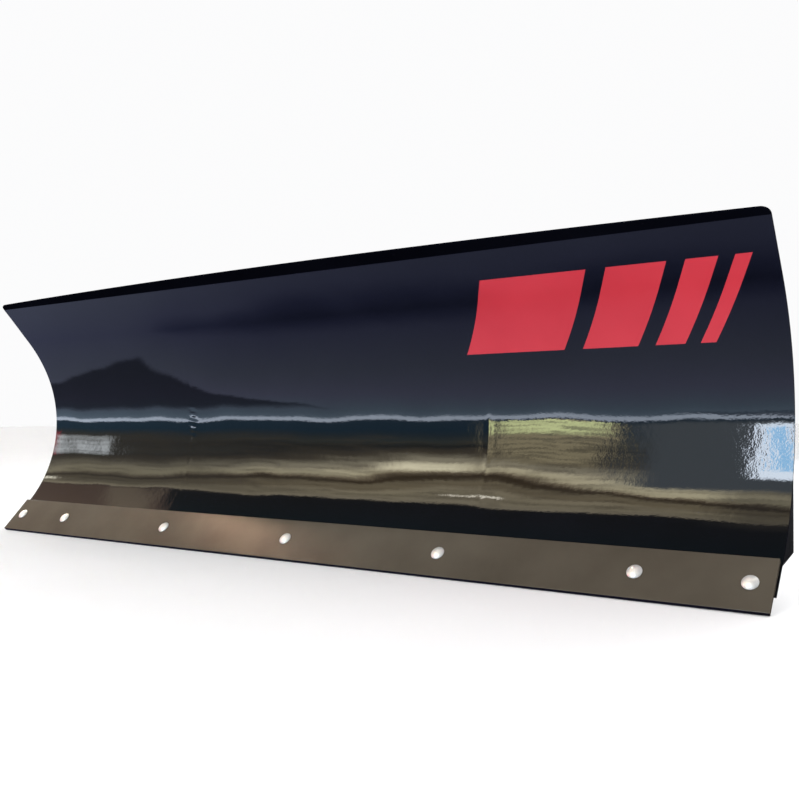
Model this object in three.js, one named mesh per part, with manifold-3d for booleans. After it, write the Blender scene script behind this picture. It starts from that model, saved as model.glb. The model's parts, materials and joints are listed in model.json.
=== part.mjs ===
// A 60 inch (1524 mm) straight snow plow blade for an ATV, in millimetres.
// +X runs along the blade, -Y is the snow side, +Z is up and the ground is z = 0.
// "left" is the -X end, which is on the left when the snow side is looked at.
//
// The sheet's cross-section is laid out in (y, z) with y = 0 at the deepest point of its front face;
// the finished blade is moved along Y at the end, so that its box is centred on the origin.
import * as THREE from "three";
import { mergeVertices } from "three/addons/utils/BufferGeometryUtils.js";
import Module from "manifold-3d";

const wasm = await Module();
wasm.setup();

// Clearance kept between pieces that touch.
const GAP = 0.3;

// Moldboard: 11 gauge sheet rolled to two radii, with a flat toe for the wear bar and a flat top
// that ends in a lip, bent a little further forward along a straight line. The lip's edge is crowned.
const WIDTH = 1524;
const SHEET = 3;
const DEEPEST_Z = 221;
const LOWER_RADIUS = 240;
const UPPER_RADIUS = 262;
const TOE_LEAN = THREE.MathUtils.degToRad(43.5);
const TOP_LEAN = THREE.MathUtils.degToRad(41);
const TOP_FLAT = 85.5;
const LIP_BEND = THREE.MathUtils.degToRad(12);
const LIP_END_LENGTH = 8;
const CROWN = 10;
const TOP_CORNER_RADIUS = 12;
const TOE_LENGTH = 50;

// Wear bar, bolted along the toe, and the strip that backs the bolts.
const BAR_HEIGHT = 76.2;
const BAR_THICKNESS = 6.35;
const BAR_LENGTH = 1520;
const STRIP_THICKNESS = 4.8;
const STRIP_HEIGHT = 40;
const STRIP_TOP = 9.5;
const STRIP_LENGTH = 1512;
const BOLT_PITCH = 295.6;
const END_BOLT_X = 732.5;
const BOLT_COLUMNS = [
  -END_BOLT_X,
  -2 * BOLT_PITCH,
  -BOLT_PITCH,
  0,
  BOLT_PITCH,
  2 * BOLT_PITCH,
  END_BOLT_X,
];

// 3/8 inch fasteners.
const SHANK_RADIUS = 4.65;
const BOLT_HOLE_RADIUS = 5;
const CARRIAGE_HEAD_RADIUS = 10.3;
const CARRIAGE_HEAD_HEIGHT = 4.9;
const NECK_SIDE = 9.5;
const NECK_HOLE_SIDE = 10.2;
const HEX_FLATS = 14.3;
const NUT_HEIGHT = 8.5;
const NUT_FLANGE_RADIUS = 10;
const WASHER_RADIUS = 11;
const WASHER_THICKNESS = 1.8;

// Ribs and brackets behind the sheet.
const PLATE = 6;
const END_PLATE = 5;
const END_RIB_INSET = 3;
const STIFFENER_X = 325;
const REAR_EDGE_Y = 35;
const TOE_CORNER_Y = -58;
const PIVOT_X = 150;
const PIVOT_GAP = 46;
const PIVOT_Y = 62;
const PIVOT_Z = 112;
const PIVOT_BOSS_RADIUS = 24;

// Each plate's corners behind the sheet, as (y, z) from its top down to its foot.
const END_RIB_CORNERS = [
  [7.8, 192],
  [7.8, 56],
  [TOE_CORNER_Y, 46.6],
];
const STIFFENER_CORNERS = [
  [-3, 385],
  [REAR_EDGE_Y, 345],
  [REAR_EDGE_Y, 98],
  [-30, 50],
  [TOE_CORNER_Y, 50],
];
const PIVOT_RIB_UPPER_CORNERS = [
  [5, 370],
  [REAR_EDGE_Y, 345],
  [REAR_EDGE_Y, 180],
];
const PIVOT_RIB_LOWER_CORNERS = [
  [-20, 50],
  [TOE_CORNER_Y, 50],
];
const SKID_BRACKET_CORNERS = [
  [18, 190],
  [74, 122],
  [74, 72],
  [52, 54],
  [TOE_CORNER_Y, 54],
];

// Clevis pins and their hairpin clips.
const PIN_RADIUS = 6.2;
const PIN_HOLE_RADIUS = 6.5;
const PIN_HEAD_RADIUS = 9.5;
const PIN_HEAD = 5;
const PIN_CLIP_X = 38;
const PIN_TIP_X = 46;
const CLIP_WIRE_RADIUS = 1.6;
const CLIP_HOLE_RADIUS = 2;

// Angle that carries the trip springs' eye bolts.
const RAIL_LENGTH = 662;
const RAIL_LEG = 50;
const RAIL_THICKNESS = 5;
const RAIL_BOTTOM_Z = 280;
const EYE_Z = 300;
const EYE_RADIUS = 14;
const EYE_WIRE_RADIUS = 4.65;
const EYE_SHANK = 58;

// Skid shoes: a slotted upright bolted to a bracket, with a runner below it.
const SKID_X = 470;
const SKID_BOLT_Z = 95;
const SKID_BOLT_Y = [26, 54];
const SKID_DROP = 28;
const SKID_LIFT = 13;
const SLOT_RADIUS = 5.6;
const UPRIGHT_FRONT_Y = 10;
const UPRIGHT_REAR_Y = 70;
const UPRIGHT_TOP_Z = 137;
const RUNNER_WIDTH = 64;
const RUNNER_FLAT = 96;
const RUNNER_BEND_RADIUS = 22;
const RUNNER_BEND = THREE.MathUtils.degToRad(38);
const RUNNER_LIP = 14;

// Vinyl decal: slanted bars of falling width, on the snow side near the right end.
const DECAL_THICKNESS = 0.25;
const DECAL_LEFT_X = 300;
const DECAL_BOTTOM_Z = 322;
const DECAL_TOP_Z = 420;
const DECAL_SLANT = 62;
const DECAL_WIDTHS = [160, 80, 40, 20];
const DECAL_SPACES = [28, 24, 20, 0];

// Facets used on round stretches.
const ARC_SEGMENTS = 5;
const ROUND_SEGMENTS = 16;
const CROWN_SEGMENTS = 8;

const paint = new THREE.MeshStandardMaterial({ color: 0x0c0e14, roughness: 0.12, metalness: 0.1 });
const framePaint = new THREE.MeshStandardMaterial({ color: 0x101114, roughness: 0.35, metalness: 0.1 });
const barPaint = new THREE.MeshStandardMaterial({ color: 0x4a433b, roughness: 0.3, metalness: 0.3 });
const vinyl = new THREE.MeshStandardMaterial({ color: 0xd0323c, roughness: 0.3, metalness: 0 });
const zinc = new THREE.MeshStandardMaterial({ color: 0xd9dce0, roughness: 0.28, metalness: 1 });

// ---- solids ---------------------------------------------------------------------------------

function solidOf(geometry) {
  const bare = geometry.clone();
  bare.deleteAttribute("normal");
  bare.deleteAttribute("uv");
  const merged = mergeVertices(bare, 1e-4);
  return new wasm.Manifold(
    new wasm.Mesh({
      numProp: 3,
      vertProperties: new Float32Array(merged.attributes.position.array),
      triVerts: new Uint32Array(merged.index.array),
    }),
  );
}

function geometryOf(solid) {
  const mesh = solid.getMesh();
  const geometry = new THREE.BufferGeometry();
  geometry.setAttribute("position", new THREE.BufferAttribute(new Float32Array(mesh.vertProperties), 3));
  geometry.setIndex(new THREE.BufferAttribute(new Uint32Array(mesh.triVerts), 1));
  const faceted = geometry.toNonIndexed();
  faceted.computeVertexNormals();
  return faceted;
}

function cut(geometry, tools) {
  return geometryOf(tools.reduce((rest, tool) => rest.subtract(solidOf(tool)), solidOf(geometry)));
}

function overlapOf(first, second) {
  return geometryOf(solidOf(first).intersect(solidOf(second)));
}

function join(geometries) {
  return geometryOf(geometries.map(solidOf).reduce((whole, piece) => whole.add(piece)));
}

// A (y, z) outline made into a plate that runs from x = from to x = to.
function plateAlongX(outline, from, to) {
  const geometry = new THREE.ExtrudeGeometry(outline, {
    depth: to - from,
    bevelEnabled: false,
    curveSegments: ARC_SEGMENTS,
  });
  const turn = new THREE.Matrix4().makeBasis(
    new THREE.Vector3(0, 1, 0),
    new THREE.Vector3(0, 0, 1),
    new THREE.Vector3(1, 0, 0),
  );
  return geometry.applyMatrix4(turn).translate(from, 0, 0);
}

// A straight round bar with its axis along X, Y or Z, centred on (x, y, z).
function rod(radius, length, axis, x, y, z) {
  const bar = new THREE.CylinderGeometry(radius, radius, length, ROUND_SEGMENTS);
  if (axis === "x") bar.rotateZ(Math.PI / 2);
  if (axis === "z") bar.rotateX(Math.PI / 2);
  return bar.translate(x, y, z);
}

// A turned piece from (radius, height) points, with its axis along Z.
function turned(points, segments = ROUND_SEGMENTS) {
  const profile = points.map(([radius, height]) => new THREE.Vector2(radius, height));
  return new THREE.LatheGeometry(profile, segments).rotateX(Math.PI / 2);
}

// A hexagonal prism that starts at z = from and is `height` tall.
function hexPrism(from, height) {
  const prism = new THREE.CylinderGeometry(HEX_FLATS / Math.sqrt(3), HEX_FLATS / Math.sqrt(3), height, 6);
  return prism.rotateX(Math.PI / 2).translate(0, 0, from + height / 2);
}

function mesh(name, geometry, material) {
  const made = new THREE.Mesh(geometry, material);
  made.name = name;
  return made;
}

// Mirrored pairs: `make` gets the name's ending and the sign of X.
function bothEnds(make) {
  return [make("left", -1), make("right", 1)].flat();
}

// ---- the sheet's curve ----------------------------------------------------------------------

// Where the flat toe meets the lower arc, on the front face.
const TOE_START = new THREE.Vector2(
  -LOWER_RADIUS * (1 - Math.cos(TOE_LEAN)),
  DEEPEST_Z - LOWER_RADIUS * Math.sin(TOE_LEAN),
);
// Where the upper arc meets the flat top, on the front face.
const TOP_START = new THREE.Vector2(
  -UPPER_RADIUS * (1 - Math.cos(TOP_LEAN)),
  DEEPEST_Z + UPPER_RADIUS * Math.sin(TOP_LEAN),
);

// A point on the toe: `down` along it from TOE_START, `behind` the front face.
function toePoint(down, behind) {
  return new THREE.Vector2(
    TOE_START.x - down * Math.sin(TOE_LEAN) + behind * Math.cos(TOE_LEAN),
    TOE_START.y - down * Math.cos(TOE_LEAN) - behind * Math.sin(TOE_LEAN),
  );
}

// A point on the flat top: `up` along it from TOP_START, `behind` the front face.
function topPoint(up, behind) {
  return new THREE.Vector2(
    TOP_START.x - up * Math.sin(TOP_LEAN) + behind * Math.cos(TOP_LEAN),
    TOP_START.y + up * Math.cos(TOP_LEAN) + behind * Math.sin(TOP_LEAN),
  );
}

// A point on the lip: `up` along it from the bend, `behind` the front face.
function lipPoint(up, behind) {
  const lean = TOP_LEAN + LIP_BEND;
  const bend = topPoint(TOP_FLAT, 0);
  return new THREE.Vector2(
    bend.x - up * Math.sin(lean) + behind * Math.cos(lean),
    bend.y + up * Math.cos(lean) + behind * Math.sin(lean),
  );
}

// Adds the sheet's curve, at a distance behind its front face, from the toe up to the height topZ.
function traceBack(outline, behind, topZ) {
  const upper = UPPER_RADIUS + behind;
  const reach = Math.min((topZ - DEEPEST_Z) / upper, Math.sin(TOP_LEAN));
  outline.absarc(-LOWER_RADIUS, DEEPEST_Z, LOWER_RADIUS + behind, -TOE_LEAN, Math.min(0, Math.asin(reach)));
  if (reach > 0) outline.absarc(-UPPER_RADIUS, DEEPEST_Z, upper, 0, Math.asin(reach));
}

function moldboardOutline(lipLength) {
  const outline = new THREE.Shape();
  const top = TOP_LEAN;
  const toe = TOE_LEAN;
  const mitre = SHEET * Math.tan(LIP_BEND / 2);
  outline.moveTo(...toePoint(TOE_LENGTH, SHEET));
  outline.absarc(-LOWER_RADIUS, DEEPEST_Z, LOWER_RADIUS + SHEET, -toe, 0, false);
  outline.absarc(-UPPER_RADIUS, DEEPEST_Z, UPPER_RADIUS + SHEET, 0, top, false);
  outline.lineTo(...topPoint(TOP_FLAT + mitre, SHEET));
  outline.lineTo(...lipPoint(lipLength, SHEET));
  outline.lineTo(...lipPoint(lipLength, 0));
  outline.lineTo(...topPoint(TOP_FLAT, 0));
  outline.absarc(-UPPER_RADIUS, DEEPEST_Z, UPPER_RADIUS, top, 0, true);
  outline.absarc(-LOWER_RADIUS, DEEPEST_Z, LOWER_RADIUS, 0, -toe, true);
  outline.lineTo(...toePoint(TOE_LENGTH, 0));
  return outline;
}

// What is trimmed off the lip: everything above a shallow crown with rounded ends.
function topTrim() {
  const past = 20;
  const half = WIDTH / 2;
  const corner = TOP_CORNER_RADIUS;
  const halfCrown = half - corner;
  const crownRadius = (halfCrown * halfCrown + CROWN * CROWN) / (2 * CROWN);
  const crownAngle = Math.asin(halfCrown / crownRadius);
  const crownCentre = LIP_END_LENGTH + CROWN - crownRadius;
  const up = Math.PI / 2;
  const outline = new THREE.Shape();
  outline.moveTo(-half - past, LIP_END_LENGTH - corner);
  outline.absarc(-halfCrown, LIP_END_LENGTH - corner, corner, Math.PI, up, true);
  for (let step = 1; step < CROWN_SEGMENTS; step++) {
    const angle = up + crownAngle * (1 - (2 * step) / CROWN_SEGMENTS);
    outline.lineTo(crownRadius * Math.cos(angle), crownCentre + crownRadius * Math.sin(angle));
  }
  outline.absarc(halfCrown, LIP_END_LENGTH - corner, corner, up, 0, true);
  outline.lineTo(half + past, LIP_END_LENGTH - corner);
  outline.lineTo(half + past, LIP_END_LENGTH + CROWN + past);
  outline.lineTo(-half - past, LIP_END_LENGTH + CROWN + past);
  const block = new THREE.ExtrudeGeometry(outline, {
    depth: 2 * past,
    bevelEnabled: false,
    curveSegments: ARC_SEGMENTS,
  });
  block.translate(0, 0, -past).rotateX(Math.PI / 2 + TOP_LEAN + LIP_BEND);
  return block.translate(0, ...topPoint(TOP_FLAT, 0));
}

// The toe's own frame: origin at TOE_START, +Y up along the toe, +Z out of its front face.
function placeOnToe(object) {
  object.position.set(0, TOE_START.x, TOE_START.y);
  object.rotation.x = Math.PI / 2 - TOE_LEAN;
  return object;
}

// The bar's lowest corner, at the back of its bottom edge, stands on the ground.
const BAR_BOTTOM = -(TOE_START.y + GAP * Math.sin(TOE_LEAN)) / Math.cos(TOE_LEAN);
const BOLT_LINE = BAR_BOTTOM + BAR_HEIGHT / 2;

function moldboard() {
  const lipBeforeTrim = LIP_END_LENGTH + 2 * CROWN;
  const sheet = plateAlongX(moldboardOutline(lipBeforeTrim), -WIDTH / 2, WIDTH / 2);
  const holes = BOLT_COLUMNS.map((x) => {
    const hole = new THREE.Mesh(rod(BOLT_HOLE_RADIUS, 6 * SHEET, "z", x, BOLT_LINE, 0));
    placeOnToe(hole).updateMatrixWorld();
    return hole.geometry.applyMatrix4(hole.matrixWorld);
  });
  return mesh("moldboard", cut(sheet, [topTrim(), ...holes]), paint);
}

// The decal's bars follow the sheet's upper arc and flat top, just in front of its face.
function decal() {
  const near = -GAP;
  const far = -GAP - DECAL_THICKNESS;
  const film = new THREE.Shape();
  film.absarc(-UPPER_RADIUS, DEEPEST_Z, UPPER_RADIUS + near, 0, TOP_LEAN, false);
  film.lineTo(...topPoint(TOP_FLAT, near));
  film.lineTo(...topPoint(TOP_FLAT, far));
  film.absarc(-UPPER_RADIUS, DEEPEST_Z, UPPER_RADIUS + far, TOP_LEAN, 0, true);
  const sheetOfVinyl = plateAlongX(film, 0, WIDTH / 2);
  let left = DECAL_LEFT_X;
  return DECAL_WIDTHS.map((width, index) => {
    const bar = new THREE.Shape();
    bar.moveTo(left, DECAL_BOTTOM_Z);
    bar.lineTo(left + width, DECAL_BOTTOM_Z);
    bar.lineTo(left + width + DECAL_SLANT, DECAL_TOP_Z);
    bar.lineTo(left + DECAL_SLANT, DECAL_TOP_Z);
    left += width + DECAL_SPACES[index];
    const cutter = new THREE.ExtrudeGeometry(bar, { depth: UPPER_RADIUS, bevelEnabled: false });
    cutter.rotateX(Math.PI / 2);
    return mesh(`decal_bar_${index + 1}`, overlapOf(sheetOfVinyl, cutter), vinyl);
  });
}

// ---- pieces on the toe ----------------------------------------------------------------------

function wearBar() {
  const bar = new THREE.BoxGeometry(BAR_LENGTH, BAR_HEIGHT, BAR_THICKNESS);
  bar.translate(0, BOLT_LINE, GAP + BAR_THICKNESS / 2);
  const holes = BOLT_COLUMNS.map((x) =>
    new THREE.BoxGeometry(NECK_HOLE_SIDE, NECK_HOLE_SIDE, 6 * BAR_THICKNESS).translate(x, BOLT_LINE, 0),
  );
  return mesh("wear_bar", cut(bar, holes), barPaint);
}

const STRIP_FRONT = -SHEET - GAP;
const STRIP_BACK = STRIP_FRONT - STRIP_THICKNESS;

function backingStrip() {
  const strip = new THREE.BoxGeometry(STRIP_LENGTH, STRIP_HEIGHT, STRIP_THICKNESS);
  strip.translate(0, -STRIP_TOP - STRIP_HEIGHT / 2, (STRIP_FRONT + STRIP_BACK) / 2);
  const holes = BOLT_COLUMNS.map((x) => rod(BOLT_HOLE_RADIUS, 6 * SHEET, "z", x, BOLT_LINE, STRIP_BACK));
  return mesh("backing_strip", cut(strip, holes), framePaint);
}

// A carriage bolt: a domed head, a square neck and a shank with a chamfered tip.
function carriageBolt(name, x) {
  const seat = GAP + BAR_THICKNESS + GAP;
  const rim = 1;
  const neckEnd = GAP + 1;
  const tip = STRIP_BACK - NUT_HEIGHT - 4;
  const chamfer = 1.2;
  const rise = CARRIAGE_HEAD_HEIGHT - rim;
  const domeRadius = (CARRIAGE_HEAD_RADIUS ** 2 + rise ** 2) / (2 * rise);
  const domeAngle = Math.asin(CARRIAGE_HEAD_RADIUS / domeRadius);
  const dome = [3, 2, 1, 0].map((step) => [
    domeRadius * Math.sin((domeAngle * step) / 3),
    seat + CARRIAGE_HEAD_HEIGHT - domeRadius * (1 - Math.cos((domeAngle * step) / 3)),
  ]);
  dome[3][0] = 0;
  const body = turned([
    [0, tip],
    [SHANK_RADIUS - chamfer, tip],
    [SHANK_RADIUS, tip + chamfer],
    [SHANK_RADIUS, seat],
    [CARRIAGE_HEAD_RADIUS, seat],
    ...dome,
  ]);
  const neck = new THREE.BoxGeometry(NECK_SIDE, NECK_SIDE, seat + rim - neckEnd);
  neck.translate(0, 0, (seat + rim + neckEnd) / 2);
  const bolt = mesh(name, join([body, neck]), zinc);
  bolt.position.set(x, BOLT_LINE, 0);
  return bolt;
}

// A hexagonal nut, with its bearing face at z = 0 and its body towards -Z; a flange is optional.
function nut(name, flangeRadius) {
  const flange = 2;
  const body = hexPrism(-NUT_HEIGHT, NUT_HEIGHT);
  const parts = [body];
  if (flangeRadius) parts.push(rod(flangeRadius, flange, "z", 0, 0, -flange / 2));
  const bore = rod(SHANK_RADIUS + GAP, 4 * NUT_HEIGHT, "z", 0, 0, 0);
  return mesh(name, cut(join(parts), [bore]), zinc);
}

function toeFasteners() {
  return BOLT_COLUMNS.flatMap((x, index) => {
    const number = index + 1;
    const flangeNut = nut(`wear_nut_${number}`, NUT_FLANGE_RADIUS);
    flangeNut.position.set(x, BOLT_LINE, STRIP_BACK - GAP);
    return [carriageBolt(`wear_bolt_${number}`, x), flangeNut];
  });
}

// ---- ribs -----------------------------------------------------------------------------------

// A rib's outline: the sheet's back from the toe up to the first corner's height, then the corners.
function ribOutline(corners) {
  const outline = new THREE.Shape();
  const behind = SHEET + GAP;
  outline.moveTo(...toePoint(0, behind));
  traceBack(outline, behind, corners[0][1]);
  corners.forEach(([y, z]) => outline.lineTo(y, z));
  return outline;
}

function endRib(side, sign) {
  const outline = ribOutline(END_RIB_CORNERS);
  const outer = WIDTH / 2 - END_RIB_INSET;
  const faces = [sign * outer, sign * (outer - END_PLATE)].sort((a, b) => a - b);
  return mesh(`end_rib_${side}`, plateAlongX(outline, ...faces), framePaint);
}

function stiffenerRib(side, sign) {
  const outline = ribOutline(STIFFENER_CORNERS);
  const x = sign * STIFFENER_X;
  return mesh(`stiffener_rib_${side}`, plateAlongX(outline, x - PLATE / 2, x + PLATE / 2), framePaint);
}

// The ribs in pairs that take the push frame between them, each with a boss for the clevis pin.
function pivotRib(name, x) {
  const outline = ribOutline(PIVOT_RIB_UPPER_CORNERS);
  const turn = Math.PI / 3;
  outline.absarc(PIVOT_Y, PIVOT_Z, PIVOT_BOSS_RADIUS, turn, -turn, true);
  PIVOT_RIB_LOWER_CORNERS.forEach(([y, z]) => outline.lineTo(y, z));
  const plate = plateAlongX(outline, x - PLATE / 2, x + PLATE / 2);
  const hole = rod(PIN_HOLE_RADIUS, 4 * PLATE, "x", x, PIVOT_Y, PIVOT_Z);
  return mesh(name, cut(plate, [hole]), framePaint);
}

function pivotRibs() {
  const offset = (PIVOT_GAP + PLATE) / 2;
  const columns = [-PIVOT_X - offset, -PIVOT_X + offset, PIVOT_X - offset, PIVOT_X + offset];
  return columns.map((x, index) => pivotRib(`pivot_rib_${index + 1}`, x));
}

// ---- clevis pins ----------------------------------------------------------------------------

// The head is inboard and the clip outboard.
function pivotPin(side, sign) {
  const seat = -PIVOT_GAP / 2 - PLATE - GAP;
  const chamfer = 1.5;
  const body = turned([
    [0, seat - PIN_HEAD],
    [PIN_HEAD_RADIUS - chamfer, seat - PIN_HEAD],
    [PIN_HEAD_RADIUS, seat - PIN_HEAD + chamfer],
    [PIN_HEAD_RADIUS, seat],
    [PIN_RADIUS, seat],
    [PIN_RADIUS, PIN_TIP_X - chamfer],
    [PIN_RADIUS - chamfer, PIN_TIP_X],
    [0, PIN_TIP_X],
  ]).rotateY(Math.PI / 2);
  const hole = rod(CLIP_HOLE_RADIUS, 4 * PIN_RADIUS, "z", PIN_CLIP_X, 0, 0);
  const pin = mesh(`pivot_pin_${side}`, cut(body, [hole]), zinc);
  pin.rotation.z = sign < 0 ? Math.PI : 0;
  pin.position.set(sign * PIVOT_X, PIVOT_Y, PIVOT_Z);
  return pin;
}

// A hairpin clip: one straight leg through the pin, one leg sprung round it, with its loop hanging.
function pivotClip(side, sign) {
  const route = [
    [0, -17],
    [0, -9],
    [0, 0],
    [0, 9],
    [0, 15],
    [-1.5, 21],
    [2.5, 26],
    [8.5, 24],
    [9, 17],
    [6.5, 11.5],
    [8.5, 5],
    [9, 0],
    [8.5, -5],
    [6, -10],
    [8, -15],
  ];
  const wire = new THREE.CatmullRomCurve3(route.map(([y, z]) => new THREE.Vector3(0, y, z)));
  const section = new THREE.Shape();
  section.absarc(0, 0, CLIP_WIRE_RADIUS, 0, 2 * Math.PI);
  const geometry = new THREE.ExtrudeGeometry(section, {
    steps: 44,
    curveSegments: 4,
    extrudePath: wire,
  });
  const clip = mesh(`pivot_clip_${side}`, geometry, zinc);
  clip.rotation.x = Math.PI;
  clip.position.set(sign * (PIVOT_X + PIN_CLIP_X), PIVOT_Y, PIVOT_Z);
  return clip;
}

// ---- spring rail ----------------------------------------------------------------------------

const RAIL_FRONT_Y = REAR_EDGE_Y + GAP;

function springRail() {
  const outline = new THREE.Shape();
  const rear = RAIL_FRONT_Y + RAIL_THICKNESS;
  const top = RAIL_BOTTOM_Z + RAIL_LEG;
  const fillet = 4;
  outline.moveTo(RAIL_FRONT_Y, RAIL_BOTTOM_Z);
  outline.lineTo(rear, RAIL_BOTTOM_Z);
  outline.lineTo(rear, top - RAIL_THICKNESS - fillet);
  outline.absarc(rear + fillet, top - RAIL_THICKNESS - fillet, fillet, Math.PI, Math.PI / 2, true);
  outline.lineTo(RAIL_FRONT_Y + RAIL_LEG, top - RAIL_THICKNESS);
  outline.lineTo(RAIL_FRONT_Y + RAIL_LEG, top);
  outline.lineTo(RAIL_FRONT_Y, top);
  const rail = plateAlongX(outline, -RAIL_LENGTH / 2, RAIL_LENGTH / 2);
  const holes = [-PIVOT_X, PIVOT_X].map((x) =>
    rod(BOLT_HOLE_RADIUS, 8 * RAIL_THICKNESS, "y", x, RAIL_FRONT_Y, EYE_Z),
  );
  return mesh("spring_rail", cut(rail, holes), framePaint);
}

// An eye bolt for a trip spring, clamped to the rail by a nut on each side.
function springEye(side, sign) {
  const tip = RAIL_FRONT_Y - NUT_HEIGHT - 12;
  const ringY = tip + EYE_SHANK;
  const ring = new THREE.TorusGeometry(EYE_RADIUS, EYE_WIRE_RADIUS, 8, 20);
  ring.rotateY(Math.PI / 2).translate(0, ringY, 0);
  const shank = rod(SHANK_RADIUS, EYE_SHANK - EYE_RADIUS, "y", 0, tip + (EYE_SHANK - EYE_RADIUS) / 2, 0);
  const eye = mesh(`spring_eye_${side}`, join([ring, shank]), zinc);
  eye.position.set(sign * PIVOT_X, 0, EYE_Z);

  const innerNut = nut(`spring_nut_inner_${side}`, 0);
  innerNut.rotation.x = -Math.PI / 2;
  innerNut.position.set(sign * PIVOT_X, RAIL_FRONT_Y - GAP, EYE_Z);

  const outerNut = nut(`spring_nut_outer_${side}`, 0);
  outerNut.rotation.x = Math.PI / 2;
  outerNut.position.set(sign * PIVOT_X, RAIL_FRONT_Y + RAIL_THICKNESS + GAP, EYE_Z);
  return [eye, innerNut, outerNut];
}

// ---- skid shoes -----------------------------------------------------------------------------

function skidBracket(side, sign) {
  const outline = ribOutline(SKID_BRACKET_CORNERS);
  const x = sign * SKID_X;
  const plate = plateAlongX(outline, x - PLATE / 2, x + PLATE / 2);
  const holes = SKID_BOLT_Y.map((y) => rod(BOLT_HOLE_RADIUS, 4 * PLATE, "x", x, y, SKID_BOLT_Z));
  return mesh(`skid_bracket_${side}`, cut(plate, holes), framePaint);
}

// The upright stands against the bracket's outer face and slides on two bolts.
function skidUpright(side, sign) {
  const corner = 10;
  const bottom = PLATE + GAP;
  const outline = new THREE.Shape();
  outline.moveTo(UPRIGHT_FRONT_Y, bottom);
  outline.lineTo(UPRIGHT_REAR_Y, bottom);
  outline.absarc(UPRIGHT_REAR_Y - corner, UPRIGHT_TOP_Z - corner, corner, 0, Math.PI / 2);
  outline.absarc(UPRIGHT_FRONT_Y + corner, UPRIGHT_TOP_Z - corner, corner, Math.PI / 2, Math.PI);
  const low = SKID_BOLT_Z - SKID_LIFT;
  const high = SKID_BOLT_Z + SKID_DROP;
  SKID_BOLT_Y.forEach((y) => {
    const slot = new THREE.Path();
    slot.absarc(y, high, SLOT_RADIUS, 0, Math.PI);
    slot.absarc(y, low, SLOT_RADIUS, Math.PI, 2 * Math.PI);
    outline.holes.push(slot);
  });
  const inner = sign * (SKID_X + PLATE / 2 + GAP);
  const faces = [inner, inner + sign * PLATE].sort((a, b) => a - b);
  return mesh(`skid_upright_${side}`, plateAlongX(outline, ...faces), framePaint);
}

// A flat runner with both ends turned up.
function skidRunner(side, sign) {
  const middle = (UPRIGHT_FRONT_Y + UPRIGHT_REAR_Y) / 2;
  const rear = middle + RUNNER_FLAT / 2;
  const front = middle - RUNNER_FLAT / 2;
  const down = -Math.PI / 2;
  const outer = RUNNER_BEND_RADIUS;
  const inner = RUNNER_BEND_RADIUS - PLATE;
  const along = [Math.cos(RUNNER_BEND), Math.sin(RUNNER_BEND)];
  const end = (y, radius, way) => [
    y + way * (radius * Math.sin(RUNNER_BEND) + RUNNER_LIP * along[0]),
    outer - radius * Math.cos(RUNNER_BEND) + RUNNER_LIP * along[1],
  ];
  const outline = new THREE.Shape();
  outline.moveTo(front, 0);
  outline.absarc(rear, outer, outer, down, down + RUNNER_BEND);
  outline.lineTo(...end(rear, outer, 1));
  outline.lineTo(...end(rear, inner, 1));
  outline.absarc(rear, outer, inner, down + RUNNER_BEND, down, true);
  outline.absarc(front, outer, inner, down, down - RUNNER_BEND, true);
  outline.lineTo(...end(front, inner, -1));
  outline.lineTo(...end(front, outer, -1));
  outline.absarc(front, outer, outer, down - RUNNER_BEND, down);
  const centre = sign * (SKID_X + PLATE + GAP);
  const runner = plateAlongX(outline, centre - RUNNER_WIDTH / 2, centre + RUNNER_WIDTH / 2);
  return mesh(`skid_runner_${side}`, runner, framePaint);
}

// Two hex bolts through the bracket and the slots, each with a washer and a nut on the outside.
function skidFasteners(side, sign) {
  const headHeight = 6.2;
  const headSeat = -PLATE / 2 - GAP;
  const washerSeat = PLATE / 2 + GAP + PLATE + GAP;
  const nutSeat = washerSeat + WASHER_THICKNESS + GAP;
  const tip = nutSeat + NUT_HEIGHT + 4;
  return SKID_BOLT_Y.flatMap((y, index) => {
    const place = new THREE.Vector3(sign * SKID_X, y, SKID_BOLT_Z);
    const ending = `${side}_${index + 1}`;
    const root = headSeat - headHeight / 2;
    const shank = rod(SHANK_RADIUS, tip - root, "z", 0, 0, (tip + root) / 2);
    const bolt = mesh(`skid_bolt_${ending}`, join([hexPrism(headSeat - headHeight, headHeight), shank]), zinc);
    bolt.rotation.y = (sign * Math.PI) / 2;
    bolt.position.copy(place);

    const ring = rod(WASHER_RADIUS, WASHER_THICKNESS, "z", 0, 0, 0);
    const bore = rod(SHANK_RADIUS + GAP, 4 * WASHER_THICKNESS, "z", 0, 0, 0);
    const washer = mesh(`skid_washer_${ending}`, cut(ring, [bore]), zinc);
    washer.rotation.y = (sign * Math.PI) / 2;
    washer.position.copy(place).setX(sign * (SKID_X + washerSeat + WASHER_THICKNESS / 2));

    const lockNut = nut(`skid_nut_${ending}`, 0);
    lockNut.rotation.y = (-sign * Math.PI) / 2;
    lockNut.position.copy(place).setX(sign * (SKID_X + nutSeat));
    return [bolt, washer, lockNut];
  });
}

// ---- assembly -------------------------------------------------------------------------------

const toe = placeOnToe(new THREE.Group());
toe.add(wearBar(), backingStrip(), ...toeFasteners());

const blade = new THREE.Group();
blade.add(moldboard(), ...decal(), toe, springRail(), ...pivotRibs());
[endRib, stiffenerRib, pivotPin, pivotClip, springEye].forEach((make) => blade.add(...bothEnds(make)));
[skidBracket, skidUpright, skidRunner, skidFasteners].forEach((make) => blade.add(...bothEnds(make)));

// Centre the blade's box on X = Y = 0; it already stands on z = 0.
const box = new THREE.Box3().setFromObject(blade);
blade.position.y = -(box.min.y + box.max.y) / 2;

const root = new THREE.Group();
root.name = "atv_plow_blade";
root.add(blade);

export default root;
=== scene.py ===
"""Fine surfaces and finishes for the ATV plow blade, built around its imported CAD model. Metres."""

import json
import math

import bmesh
import bpy
from mathutils import Matrix, Vector


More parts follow.
